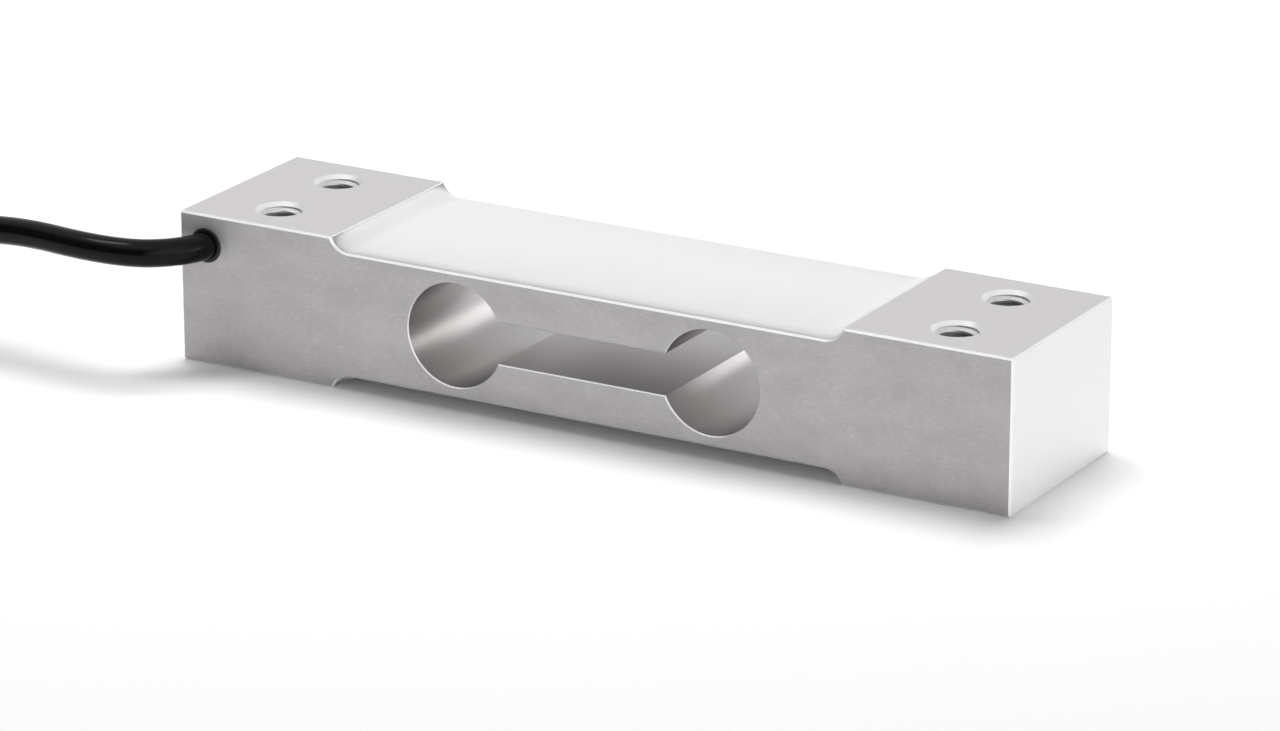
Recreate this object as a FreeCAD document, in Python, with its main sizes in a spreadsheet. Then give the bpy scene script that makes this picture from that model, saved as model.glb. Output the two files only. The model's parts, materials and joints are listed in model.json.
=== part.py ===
import FreeCAD
import Part
import Sketcher

import math
import os

# A single point load cell: one machined aluminium beam with a binocular cut-out, four foil strain gauges
# bonded over and under the thin places of that cut-out, the bridge wiring under white silicone, and a
# black cable that leaves the side of the fixed end.
# Millimetres. +X runs along the beam from the cable end to the loaded end, the cable leaves the face at
# -Y, and +Z is up. The origin is at the middle of the beam's underside.

# The driving dimensions. Each one is written here once and goes into the document's sheet.
DIMENSIONS = {
    # the beam's block and the recesses above and below its cut-out
    "beam_length": 130.0,
    "beam_width": 30.0,
    "beam_height": 22.0,
    "edge_break": 0.3,
    "recess_length": 80.0,
    "recess_depth": 2.0,
    "recess_corner": 3.0,
    # the binocular cut-out, whose bores leave a thin wall under and over each recess floor
    "bore_spread": 40.0,
    "thin_wall": 1.5,
    "slot_height": 6.0,
    "cutout_break": 0.15,
    # the two pairs of M6 holes
    "mount_spread": 106.0,
    "mount_pitch": 15.0,
    "thread_diameter": 6.0,
    "thread_mouth": 7.1,
    # the bore for the cable and the drillings for the wires
    "cable_bore_inset": 4.3,
    "cable_bore_drop": 4.5,
    "cable_bore_diameter": 5.0,
    "cable_bore_overrun": 1.8,
    "passage_diameter": 3.5,
    "passage_mouth_inset": 3.5,
    "cross_hole_diameter": 2.5,
    "cross_hole_inset": 9.2,
    # the silicone in the recesses, measured up from their floors
    "sealant_inset": 0.35,
    "sealant_shoulder": 0.3,
    "top_edge_thickness": 0.5,
    "top_crown_thickness": 0.95,
    "bottom_edge_thickness": 0.5,
    "bottom_crown_thickness": 1.5,
    "film_thickness": 0.12,
    "film_run": 2.5,
    # the foil strain gauges
    "backing_thickness": 0.08,
    "backing_margin": 0.9,
    "backing_corner": 0.5,
    "foil_thickness": 0.04,
    "grid_length": 3.2,
    "grid_loop": 0.35,
    "strand_width": 0.17,
    "strand_gap": 0.13,
    "tab_neck": 0.4,
    "tab_length": 1.3,
    "tab_spacing": 0.5,
    # the terminal boards
    "board_length": 12.0,
    "board_width": 8.5,
    "top_board_thickness": 0.3,
    "bottom_board_thickness": 0.5,
    "pad_length": 1.3,
    "pad_width": 1.1,
    "pad_thickness": 0.06,
    "pad_pitch": 2.4,
    "pad_row_inset": 1.35,
    "pad_column_inset": 1.4,
    "pad_column_pitch": 1.7,
    "resistor_width": 1.25,
    "resistor_thickness": 0.35,
    "resistor_overlap": 0.35,
    # the wires: thin ones between the gauges and the boards, and the cable's four cores
    "lead_diameter": 0.24,
    "lead_pitch": 0.7,
    "lead_lane": 5.2,
    "lead_hole_pitch": 0.4,
    "lead_rise_gap": 0.5,
    "core_diameter": 0.7,
    "core_pitch": 0.75,
    "core_lane": 6.3,
    "core_rise_gap": 0.25,
    "core_bedding": 0.06,
    "core_foot_run": 1.0,
    # the cable and its bush
    "cable_diameter": 4.0,
    "bush_proud": 0.25,
    "bush_length": 6.0,
    "bush_lip": 0.2,
    "coil_x": -148.0,
    "coil_y": 2.33,
    "coil_middle_radius": 22.5,
    "coil_stub": 20.0,
    "coil_stub_root": 4.0,
    "tie_thickness": 0.4,
    "tie_angle": 7.5,
    "ridge_angle": 195.0,
    "ridge_start": 75.0,
    "sleeve_diameter": 5.0,
    "sleeve_angle": 20.0,
    "tail_diameter": 0.8,
    "tail_pitch": 0.84,
    "tail_angle": 55.0,
    "tail_tip_diameter": 0.5,
    "tail_tip_angle": 6.0,
    "tail_drop": 1.66,
}
STRAND_PAIRS = 4
CORE_NAMES = ("red", "black", "green", "white")
# Two places nearer than this are one place, and what is trimmed off a piece runs this far past it.
TOUCH = 1e-4
OVERRUN = 1.0

# The cable's route from the face to the coil, as the ends of its straight runs. The first bend is as
# tight as the real one, which turns the cable along the beam as soon as it is out of the face.
ROUTE = [
    (-60.7, -17.8, 17.5),
    (-63.3, -21.6, 17.5),
    (-68.2, -23.9, 17.5),
    (-76.5, -24.3, 17.6),
    (-87.5, -23.0, 17.7),
    (-96.0, -22.6, 16.6),
    (-103.5, -23.2, 12.6),
    (-111.0, -23.9, 6.9),
    (-119.5, -24.17, 2.4),
]
BEND_SHARE = 0.45

doc = FreeCAD.newDocument("single_point_load_cell")
parts = []


class Size:
    """A number from the sheet, or one worked out from it, with the formula that keeps it bound."""

    def __init__(self, number, formula):
        self.number = float(number)
        self.formula = formula

    def __add__(self, other):
        other = as_size(other)
        return Size(self.number + other.number, f"({self.formula} + {other.formula})")

    def __sub__(self, other):
        other = as_size(other)
        return Size(self.number - other.number, f"({self.formula} - {other.formula})")

    def __mul__(self, other):
        other = as_size(other)
        return Size(self.number * other.number, f"({self.formula} * {other.formula})")

    def __truediv__(self, other):
        other = as_size(other)
        return Size(self.number / other.number, f"({self.formula} / {other.formula})")

    def __neg__(self):
        return self * -1

    __radd__ = __add__
    __rmul__ = __mul__

    def __rsub__(self, other):
        return as_size(other) - self


def as_size(value):
    if isinstance(value, Size):
        return value
    return Size(value, f"({float(value)!r})")


def root(size):
    return Size(math.sqrt(size.number), f"sqrt({size.formula})")


def make_sheet():
    sheet = doc.addObject("Spreadsheet::Sheet", "sizes")
    for row, (name, number) in enumerate(DIMENSIONS.items(), start=1):
        sheet.set(f"A{row}", name)
        sheet.set(f"B{row}", str(number))
        sheet.setAlias(f"B{row}", name)
    doc.recompute()
    return {name: Size(sheet.get(name), f"sizes.{name}") for name in DIMENSIONS}


S = make_sheet()


def bind(thing, name, size):
    thing.setExpression(name, as_size(size).formula)


def place(thing, x=0.0, y=0.0, z=0.0, axis=(0, 0, 1), angle=0.0):
    """Puts a thing at a point worked out from the sheet, turned by a fixed angle."""
    rotation = FreeCAD.Rotation(FreeCAD.Vector(*axis), angle)
    thing.Placement = FreeCAD.Placement(FreeCAD.Vector(0, 0, 0), rotation)
    for letter, size in (("x", x), ("y", y), ("z", z)):
        bind(thing, f"Placement.Base.{letter}", size)


def node(thing, name):
    """Names a finished piece; each one goes into a file of its own."""
    thing.Label = name
    parts.append(thing)
    return thing


def new_body(name):
    return doc.addObject("PartDesign::Body", name)


def new_sketch(body, name, plane):
    sketch = body.newObject("Sketcher::SketchObject", name)
    support = next(item for item in body.Origin.OriginFeatures if item.Role == plane)
    sketch.AttachmentSupport = [(support, "")]
    sketch.MapMode = "FlatFace"
    return sketch


def pin(sketch, geometry, end, x, y):
    """Holds a point of the sketch at its distances from the sketch's origin."""
    for kind, size in (("DistanceX", as_size(x)), ("DistanceY", as_size(y))):
        index = sketch.addConstraint(Sketcher.Constraint(kind, -1, 1, geometry, end, size.number))
        bind(sketch, f"Constraints[{index}]", size)


def draw_circle(sketch, x, y, diameter):
    x, y, radius = as_size(x), as_size(y), diameter / 2
    circle = Part.Circle(FreeCAD.Vector(x.number, y.number, 0), FreeCAD.Vector(0, 0, 1), radius.number)
    geometry = sketch.addGeometry(circle, False)
    pin(sketch, geometry, 3, x, y)
    index = sketch.addConstraint(Sketcher.Constraint("Radius", geometry, radius.number))
    bind(sketch, f"Constraints[{index}]", radius)


def draw_arc(sketch, start, end, radius, turn):
    """An arc of under half a circle from start to end, which turns left for turn 1 and right for -1."""
    chord = end - start
    half = chord.Length / 2
    left = FreeCAD.Vector(-chord.y, chord.x, 0).normalize()
    centre = (start + end) / 2 + left * (turn * math.sqrt(max(radius**2 - half**2, 0.0)))
    first, last = (start, end) if turn > 0 else (end, start)
    angles = [math.atan2(point.y - centre.y, point.x - centre.x) for point in (first, last)]
    circle = Part.Circle(centre, FreeCAD.Vector(0, 0, 1), radius)
    return sketch.addGeometry(Part.ArcOfCircle(circle, *angles), False)


def draw_outline(sketch, corners):
    """A closed outline. A corner is (x, y), or (x, y, radius, turn) where an arc leads to the next one."""
    sizes = [(as_size(corner[0]), as_size(corner[1])) for corner in corners]
    points = [FreeCAD.Vector(x.number, y.number, 0) for x, y in sizes]
    ends = []
    for index, corner in enumerate(corners):
        start, end = points[index], points[(index + 1) % len(points)]
        if len(corner) == 2:
            geometry = sketch.addGeometry(Part.LineSegment(start, end), False)
            ends.append((geometry, 1, 2))
            continue
        radius, turn = as_size(corner[2]), corner[3]
        geometry = draw_arc(sketch, start, end, radius.number, turn)
        ends.append((geometry, 1, 2) if turn > 0 else (geometry, 2, 1))
        held = sketch.addConstraint(Sketcher.Constraint("Radius", geometry, radius.number))
        bind(sketch, f"Constraints[{held}]", radius)
    for index, (geometry, start, _) in enumerate(ends):
        before, _, before_end = ends[index - 1]
        sketch.addConstraint(Sketcher.Constraint("Coincident", before, before_end, geometry, start))
        pin(sketch, geometry, start, *sizes[index])


def draw_rectangle(sketch, low_x, low_y, high_x, high_y):
    draw_outline(sketch, [(low_x, low_y), (high_x, low_y), (high_x, high_y), (low_x, high_y)])


def add_pad(body, sketch, length, side="One side", reversed_=False):
    pad = body.newObject("PartDesign::Pad", "Pad")
    pad.Profile = sketch
    pad.SideType = side
    pad.Reversed = reversed_
    bind(pad, "Length", length)
    return pad


def cut_through(body, sketch, name):
    """A pocket that runs through the whole body, both ways from its sketch."""
    pocket = body.newObject("PartDesign::Pocket", name)
    pocket.Profile = sketch
    pocket.Type = "ThroughAll"
    pocket.SideType = "Symmetric"
    return pocket


def cut_to_depth(body, sketch, name, depth):
    pocket = body.newObject("PartDesign::Pocket", name)
    pocket.Profile = sketch
    bind(pocket, "Length", depth)
    return pocket


def edges_where(feature, wanted):
    doc.recompute()
    return [f"Edge{i}" for i, edge in enumerate(feature.Shape.Edges, start=1) if wanted(edge)]


def add_chamfer(body, feature, name, size, wanted):
    chamfer = body.newObject("PartDesign::Chamfer", name)
    chamfer.Base = (feature, edges_where(feature, wanted))
    bind(chamfer, "Size", size)
    return chamfer


def is_at(value, target):
    return abs(value - target.number) < TOUCH


# Places that several pieces share
length_half = S["beam_length"] / 2
width_half = S["beam_width"] / 2
recess_half = S["recess_length"] / 2
floor_top = S["beam_height"] - S["recess_depth"]
floor_bottom = S["recess_depth"]
gauge_x = S["bore_spread"] / 2
bore_diameter = floor_top - floor_bottom - 2 * S["thin_wall"]
cable_x = S["cable_bore_inset"] - length_half
cable_z = S["beam_height"] - S["cable_bore_drop"]
passage_mouth_x = S["passage_mouth_inset"] - recess_half
cross_hole_x = S["cross_hole_inset"] - recess_half
corner_rise = S["recess_corner"] - S["recess_depth"]
corner_run = root(S["recess_corner"] * S["recess_corner"] - corner_rise * corner_rise)


def recess_outline(face, floor, turn):
    """The recess seen from the side: a flat floor and a concave corner up to the face at each end."""
    flat = recess_half - corner_run
    return [
        (-recess_half, face, S["recess_corner"], turn),
        (-flat, floor),
        (flat, floor, S["recess_corner"], turn),
        (recess_half, face),
    ]


def make_beam():
    body = new_body("beam")
    plan = new_sketch(body, "plan", "XY_Plane")
    draw_rectangle(plan, -length_half, -width_half, length_half, width_half)
    add_pad(body, plan, S["beam_height"])

    side = new_sketch(body, "recess_sides", "XZ_Plane")
    draw_outline(side, recess_outline(S["beam_height"], floor_top, 1))
    draw_outline(side, recess_outline(0, floor_bottom, -1))
    recesses = cut_through(body, side, "recesses")

    def on_outer_edge(edge):
        box = edge.BoundBox
        on_face = is_at(abs(box.YMin), width_half) and is_at(box.YMax, as_size(box.YMin))
        on_end = is_at(abs(box.XMin), length_half) and is_at(box.XMax, as_size(box.XMin))
        return on_face or on_end

    add_chamfer(body, recesses, "outer_edges", S["edge_break"], on_outer_edge)

    circles = new_sketch(body, "bore_circles", "XZ_Plane")
    for x in (-gauge_x, gauge_x):
        draw_circle(circles, x, S["beam_height"] / 2, bore_diameter)
    cut_through(body, circles, "bores")
    web = new_sketch(body, "slot_sides", "XZ_Plane")
    slot_low = (S["beam_height"] - S["slot_height"]) / 2
    draw_rectangle(web, -gauge_x, slot_low, gauge_x, slot_low + S["slot_height"])
    slot = cut_through(body, web, "slot")

    def on_cutout(edge):
        box = edge.BoundBox
        on_face = is_at(abs(box.YMin), width_half) and is_at(box.YMax, as_size(box.YMin))
        reach_x = (gauge_x + bore_diameter / 2).number + TOUCH
        reach_z = bore_diameter.number / 2 + TOUCH
        middle = S["beam_height"].number / 2
        inside = max(abs(box.XMin), abs(box.XMax)) < reach_x
        level = max(abs(box.ZMin - middle), abs(box.ZMax - middle)) < reach_z
        return on_face and inside and level

    cutout = add_chamfer(body, slot, "cutout_edges", S["cutout_break"], on_cutout)

    holes = new_sketch(body, "mount_circles", "XY_Plane")
    for x in (-S["mount_spread"] / 2, S["mount_spread"] / 2):
        for y in (-S["mount_pitch"] / 2, S["mount_pitch"] / 2):
            draw_circle(holes, x, y, S["thread_diameter"])
    drilled = cut_through(body, holes, "mount_holes")

    def on_hole_mouth(edge):
        if not isinstance(edge.Curve, Part.Circle):
            return False
        box = edge.BoundBox
        level = is_at(box.ZLength, as_size(0))
        mouth = is_at(box.ZMin, as_size(0)) or is_at(box.ZMin, S["beam_height"])
        return level and mouth and is_at(edge.Curve.Radius, S["thread_diameter"] / 2)

    mouth_break = (S["thread_mouth"] - S["thread_diameter"]) / 2
    add_chamfer(body, drilled, "countersinks", mouth_break, on_hole_mouth)

    entry = new_sketch(body, "cable_circle", "XZ_Plane")
    bind(entry, "AttachmentOffset.Base.z", width_half)
    draw_circle(entry, cable_x, cable_z, S["cable_bore_diameter"])
    cut_to_depth(body, entry, "cable_bore", width_half + S["cable_bore_overrun"])

    run, drop = passage_mouth_x - cable_x, cable_z - floor_bottom
    passage = body.newObject("PartDesign::SubtractiveCylinder", "wire_passage")
    place(passage, cable_x, 0, cable_z, axis=(0, 1, 0))
    passage.setExpression("Placement.Rotation.Angle", f"90 deg + atan({(drop / run).formula})")
    bind(passage, "Radius", S["passage_diameter"] / 2)
    bind(passage, "Height", root(run * run + drop * drop) + S["passage_diameter"])

    cross = new_sketch(body, "cross_circle", "XY_Plane")
    draw_circle(cross, cross_hole_x, 0, S["cross_hole_diameter"])
    cut_through(body, cross, "cross_hole")
    return node(body, "beam")


class Recess:
    """One recess, with heights measured from its floor towards the opening."""

    def __init__(self, name, face, floor, side, edge, crown, board):
        self.name, self.face, self.floor, self.side = name, face, floor, side
        self.edge, self.crown, self.board = edge, crown, board

    def level(self, height):
        return self.floor + as_size(height) * self.side


TOP = Recess(
    "top", S["beam_height"], floor_top, 1, S["top_edge_thickness"], S["top_crown_thickness"], S["top_board_thickness"]
)
BOTTOM = Recess(
    "bottom", as_size(0), floor_bottom, -1, S["bottom_edge_thickness"], S["bottom_crown_thickness"],
    S["bottom_board_thickness"],
)
grid_height = STRAND_PAIRS * 2 * S["strand_width"] + (STRAND_PAIRS * 2 - 1) * S["strand_gap"]
grid_right = S["grid_length"] / 2 + S["grid_loop"]
tab_left = grid_right + S["tab_neck"]
tab_right = tab_left + S["tab_length"]
tab_middle_y = (grid_height + S["tab_spacing"]) / 4
GAUGES = {"top_fixed": (TOP, -1), "top_load": (TOP, 1), "bottom_fixed": (BOTTOM, -1), "bottom_load": (BOTTOM, 1)}


def seat_gauge(body, recess, end, height):
    """Turns a gauge so that its tabs point to the middle of the beam, and lays it on the floor."""
    turns = {(1, -1): ((0, 0, 1), 0), (1, 1): ((0, 0, 1), 180), (-1, -1): ((1, 0, 0), 180), (-1, 1): ((0, 1, 0), 180)}
    axis, angle = turns[(recess.side, end)]
    place(body, gauge_x * end, 0, recess.level(height), axis, angle)


def make_backing(name, recess, end):
    """The gauge's backing: a thin film with rounded corners that carries the foil."""
    body = new_body(f"backing_{name}")
    sketch = new_sketch(body, "film", "XY_Plane")
    margin = S["backing_margin"]
    half = grid_height / 2 + margin
    draw_rectangle(sketch, -grid_right - margin, -half, tab_right + margin, half)
    pad = add_pad(body, sketch, S["backing_thickness"])
    corners = body.newObject("PartDesign::Fillet", "corners")
    corners.Base = (pad, edges_where(pad, lambda edge: edge.BoundBox.ZLength > 0.5 * pad.Shape.BoundBox.ZLength))
    bind(corners, "Radius", S["backing_corner"])
    seat_gauge(body, recess, end, 0)
    return node(body, f"gauge_backing_{name}")


def cut_slits(body, name, left, right, low, count):
    """A row of slits through the foil, every second gap between its strands."""
    sketch = new_sketch(body, f"{name}_slit", "XY_Plane")
    draw_rectangle(sketch, left, low, right, low + S["strand_gap"])
    pocket = cut_through(body, sketch, f"{name}_cut")
    row = body.newObject("PartDesign::LinearPattern", f"{name}_slits")
    row.Originals = [pocket]
    row.Direction = (sketch, ["V_Axis"])
    row.Mode = "Spacing"
    row.Occurrences = count
    bind(row, "Offset", 2 * (S["strand_width"] + S["strand_gap"]))
    body.Tip = row


def make_grid(name, recess, end):
    """The foil: one strand that runs to and fro along the beam, and two tabs at the same end."""
    body = new_body(f"grid_{name}")
    sketch = new_sketch(body, "foil", "XY_Plane")
    half, strand, gap = grid_height / 2, S["strand_width"], S["strand_gap"]
    inner = S["tab_spacing"] / 2
    draw_outline(
        sketch,
        [
            (-grid_right, -half),
            (tab_right, -half),
            (tab_right, -inner),
            (tab_left, -inner),
            (tab_left, strand - half),
            (grid_right, strand - half),
            (grid_right, half - strand),
            (tab_left, half - strand),
            (tab_left, inner),
            (tab_right, inner),
            (tab_right, half),
            (-grid_right, half),
        ],
    )
    add_pad(body, sketch, S["foil_thickness"])
    first = strand - half
    cut_slits(body, "inner", -S["grid_length"] / 2, grid_right + gap, first, STRAND_PAIRS)
    outer_low = first + strand + gap
    cut_slits(body, "outer", -grid_right - gap, S["grid_length"] / 2, outer_low, STRAND_PAIRS - 1)
    seat_gauge(body, recess, end, S["backing_thickness"])
    return node(body, f"gauge_grid_{name}")


def make_block(name, x, y, z, long, wide, high, side):
    """A block on a recess floor or board: its middle in X and Y, and its seat's height."""
    block = doc.addObject("Part::Box", name)
    for prop, size in (("Length", long), ("Width", wide), ("Height", high)):
        bind(block, prop, size)
    place(block, x - long / 2, y - wide / 2, z if side > 0 else z - high)
    return block


row_y = S["board_width"] / 2 - S["pad_row_inset"]
column_x = S["board_length"] / 2 - S["pad_column_inset"]
ROW_PLACES = [(step - 1.5) * S["pad_pitch"] for step in range(4)]
COLUMN_PLACES = [S["pad_column_pitch"] / -2, S["pad_column_pitch"] / 2]


def make_board(recess):
    board = make_block(
        f"board_{recess.name}", as_size(0), as_size(0), recess.floor, S["board_length"], S["board_width"], recess.board,
        recess.side,
    )
    spots = [(x, y) for y in (-row_y, row_y) for x in ROW_PLACES]
    spots += [(x, y) for x in (-column_x, column_x) for y in COLUMN_PLACES]
    pads = doc.addObject("Part::Compound", f"pads_{recess.name}")
    pads.Links = [
        make_block(
            "pad", x, y, recess.level(recess.board), S["pad_width"], S["pad_length"], S["pad_thickness"], recess.side
        )
        for x, y in spots
    ]
    return [node(board, f"terminal_board_{recess.name}"), node(pads, f"terminal_pads_{recess.name}")]


def make_resistor(name, first):
    """A chip resistor that bridges two pads of the top board."""
    left, right = ROW_PLACES[first], ROW_PLACES[first + 1]
    long = right - left + 2 * S["resistor_overlap"]
    seat = TOP.level(TOP.board + S["pad_thickness"])
    chip = make_block(name, (left + right) / 2, -row_y, seat, long, S["resistor_width"], S["resistor_thickness"], 1)
    return node(chip, name)


def vector(x, y, z):
    return FreeCAD.Vector(*(as_size(value).number for value in (x, y, z)))


def round_section(start, toward, radius):
    edge = Part.makeCircle(radius, start, toward - start)
    return Part.Wire([edge])


def make_wire_solid(points, diameter):
    """A round wire along straight runs, mitred at their corners."""
    spine = Part.makePolygon(points)
    return spine.makePipeShell([round_section(points[0], points[1], diameter / 2)], True, True, 1)


def make_wires(name, routes, diameter):
    """A group of like wires as one node. Their routes are worked out from the sheet above."""
    solids = [make_wire_solid([vector(*point) for point in route], diameter.number) for route in routes]
    feature = doc.addObject("Part::Feature", name)
    feature.Shape = Part.makeCompound(solids) if len(solids) > 1 else solids[0]
    return node(feature, name)


def gauge_lead_routes(recess):
    """From each tab of the recess's two gauges to the nearest column of pads."""
    radius = S["lead_diameter"] / 2
    low = recess.level(S["backing_thickness"] + S["foil_thickness"] + radius)
    high = recess.level(recess.board + S["pad_thickness"] + radius)
    tab_x = gauge_x - (tab_left + tab_right) / 2
    leave_x = gauge_x - tab_right - S["backing_margin"]
    board_x = S["board_length"] / 2 + S["lead_rise_gap"]
    routes = []
    for end in (-1, 1):
        for hand in (-1, 1):
            tab_y, pad_y = tab_middle_y * hand, S["pad_column_pitch"] / 2 * hand
            routes.append(
                [
                    (tab_x * end, tab_y, low),
                    (leave_x * end, tab_y, low),
                    (board_x * end, pad_y, high),
                    (column_x * end, pad_y, high),
                ]
            )
    return routes


def bridge_lead_routes():
    """From the far row of the top board through the cross hole to the same row of the bottom board."""
    radius = S["lead_diameter"] / 2
    routes = []
    for index, pad_x in enumerate(ROW_PLACES):
        lane = S["lead_lane"] + index * S["lead_pitch"]
        hole_x = cross_hole_x + (1.5 - index) * S["lead_hole_pitch"]
        ends = {}
        for recess in (TOP, BOTTOM):
            high = recess.level(recess.board + S["pad_thickness"] + radius)
            ends[recess.name] = [(pad_x, row_y, high), (pad_x, lane, high), (hole_x, lane, high), (hole_x, 0, high)]
        routes.append(ends["top"] + ends["bottom"][::-1])
    return routes


def core_routes():
    """The cable's cores lie side by side: in from the cable, down the passage and along the floor."""
    run, drop = passage_mouth_x - cable_x, cable_z - floor_bottom
    reach = root(run * run + drop * drop)
    along_x, along_z = run / reach, drop / reach
    low = BOTTOM.level(S["core_bedding"] + S["core_diameter"] / 2)
    high = BOTTOM.level(BOTTOM.board + S["pad_thickness"] + S["core_bedding"] + S["core_diameter"] / 2)
    slant = (cable_z - low) / along_z
    half_turn = math.tan(math.radians(22.5))  # keeps the cores' pitch where they turn by 45 degrees
    routes = []
    for index, pad_x in enumerate(ROW_PLACES[::-1]):
        offset = (1.5 - index) * S["core_pitch"]
        floor_x = cable_x + slant * along_x
        first_x = floor_x + S["core_foot_run"] - offset * half_turn
        lane = -offset - S["core_lane"]
        board_edge = -S["board_width"] / 2
        routes.append(
            [
                (cable_x + offset * along_x, S["bush_length"] - width_half, cable_z - offset * along_z),
                (cable_x + offset * along_x, -offset, cable_z - offset * along_z),
                (floor_x, -offset, low),
                (first_x, -offset, low),
                (first_x + S["core_lane"], lane, low),
                (pad_x, lane, low),
                (pad_x, board_edge - S["core_rise_gap"], high),
                (pad_x, -row_y, high),
            ]
        )
    return routes


def cut_round(solid, contents):
    """The solid, poured round its contents: each of them leaves its own hollow."""
    for thing in contents:
        hollow = doc.addObject("Part::Cut", "hollow")
        hollow.Base, hollow.Tool = solid, thing
        solid = hollow
    return solid


def make_fill(recess, contents):
    """The silicone over the parts in a recess: a crowned layer that climbs the corners as a thin film."""
    half = width_half - S["sealant_inset"]
    shoulder = S["sealant_shoulder"]
    rise = recess.crown - recess.edge
    inner = half - shoulder
    crown_radius = (inner * inner + rise * rise) / (2 * rise)
    layer = new_body(f"layer_{recess.name}")
    section = new_sketch(layer, "section", "YZ_Plane")
    low_edge = recess.edge - shoulder
    draw_outline(
        section,
        [
            (-half, recess.floor),
            (half, recess.floor),
            (half, recess.level(low_edge), shoulder, recess.side),
            (inner, recess.level(recess.edge), crown_radius, recess.side),
            (-inner, recess.level(recess.edge), shoulder, recess.side),
            (-half, recess.level(low_edge)),
        ],
    )
    add_pad(layer, section, S["recess_length"], "Symmetric")

    coves = new_body(f"coves_{recess.name}")
    sides = new_sketch(coves, "sides", "XZ_Plane")
    film_height = S["recess_depth"] - S["film_thickness"] - recess.edge
    film_radius = (S["film_run"] * S["film_run"] + film_height * film_height) / (2 * film_height)
    foot = recess_half - S["film_thickness"] - S["film_run"]
    top = recess.level(S["recess_depth"] - S["film_thickness"])
    film_edge = recess_half - S["film_thickness"]
    draw_outline(
        sides,
        [
            (-recess_half - OVERRUN, recess.floor),
            (recess_half + OVERRUN, recess.floor),
            (recess_half + OVERRUN, top),
            (film_edge, top, film_radius, -recess.side),
            (foot, recess.level(recess.edge)),
            (-foot, recess.level(recess.edge), film_radius, -recess.side),
            (-film_edge, top),
            (-recess_half - OVERRUN, top),
        ],
    )
    add_pad(coves, sides, 2 * half, "Symmetric")

    room = new_body(f"room_{recess.name}")
    outline = new_sketch(room, "outline", "XZ_Plane")
    draw_outline(outline, recess_outline(recess.face, recess.floor, recess.side))
    add_pad(room, outline, 2 * half, "Symmetric")

    poured = doc.addObject("Part::MultiFuse", f"poured_{recess.name}")
    poured.Shapes = [layer, coves]
    trimmed = doc.addObject("Part::Common", f"trimmed_{recess.name}")
    trimmed.Base, trimmed.Tool = poured, room
    return node(cut_round(trimmed, contents), f"{recess.name}_sealant")


def make_bush():
    """The bush that the cable is bonded into: a sleeve with a rounded lip just proud of the face."""
    body = new_body("bush")
    sketch = new_sketch(body, "half_section", "XY_Plane")
    inner, outer = S["cable_diameter"] / 2, S["cable_bore_diameter"] / 2
    front, lip = -S["bush_proud"], S["bush_lip"]
    draw_outline(
        sketch,
        [
            (inner, front),
            (outer - lip, front, lip, 1),
            (outer, front + lip),
            (outer, S["bush_length"]),
            (inner, S["bush_length"]),
        ],
    )
    turned = body.newObject("PartDesign::Revolution", "turned")
    turned.Profile = sketch
    turned.ReferenceAxis = (sketch, ["V_Axis"])
    turned.Angle = 360.0
    place(body, cable_x, -width_half, cable_z)
    return node(body, "cable_bush")


def make_bore_potting(cores):
    """The resin behind the bush, which holds the cores and seals the bore."""
    plug = doc.addObject("Part::Cylinder", "plug")
    bind(plug, "Radius", S["cable_bore_diameter"] / 2)
    bind(plug, "Height", width_half + S["cable_bore_overrun"] - S["bush_length"])
    place(plug, cable_x, S["cable_bore_overrun"], cable_z, axis=(1, 0, 0), angle=90)
    return node(cut_round(plug, cores), "bore_potting")


def rounded_route(points):
    """Straight runs joined by tangent arcs, each as large as its two runs allow."""
    edges, at = [], points[0]
    for before, corner, after in zip(points, points[1:], points[2:]):
        arrive, leave = (corner - before).normalize(), (after - corner).normalize()
        half_turn = arrive.getAngle(leave) / 2
        cut = BEND_SHARE * min(corner.distanceToPoint(before), corner.distanceToPoint(after))
        radius = cut / math.tan(half_turn)
        start, end = corner - arrive * cut, corner + leave * cut
        inward = (leave - arrive).normalize()
        middle = corner + inward * (radius / math.cos(half_turn) - radius)
        edges.append(Part.LineSegment(at, start).toShape())
        edges.append(Part.Arc(start, middle, end).toShape())
        print(f"bend at {tuple(round(value, 1) for value in corner)}: radius {radius:.1f} mm")
        at = end
    edges.append(Part.LineSegment(at, points[-1]).toShape())
    return Part.Wire(edges)


def make_cable(coil_height):
    """The cable from inside its bush to the coil."""
    inside = vector(cable_x, S["bush_length"] - width_half, cable_z)
    face = vector(cable_x, -width_half, cable_z)
    end = vector(S["coil_x"] + S["coil_stub"], S["coil_y"] - coil_outer, coil_height)
    route = rounded_route([face] + [FreeCAD.Vector(*point) for point in ROUTE] + [end])
    spine = Part.Wire([Part.LineSegment(inside, face).toShape()] + route.Edges)
    radius = S["cable_diameter"].number / 2
    tube = spine.makePipeShell([round_section(inside, face, radius)], True, True)
    share = tube.Volume / (math.pi * radius**2 * spine.Length)
    print(f"cable to the coil: {route.Length:.1f} mm, volume over section times length {share:.4f}")
    feature = doc.addObject("Part::Feature", "tube")
    feature.Shape = tube
    return node(feature, "cable_tube")


# The coil's turns lie three wide, two on those and one on top, so its section is a rounded triangle.
coil_outer = S["coil_middle_radius"] + S["cable_diameter"]
LEAN = math.sqrt(3) / 2
layer_rise = S["cable_diameter"] * LEAN
coil_floor = S["tie_thickness"] + S["cable_diameter"] / 2


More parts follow.
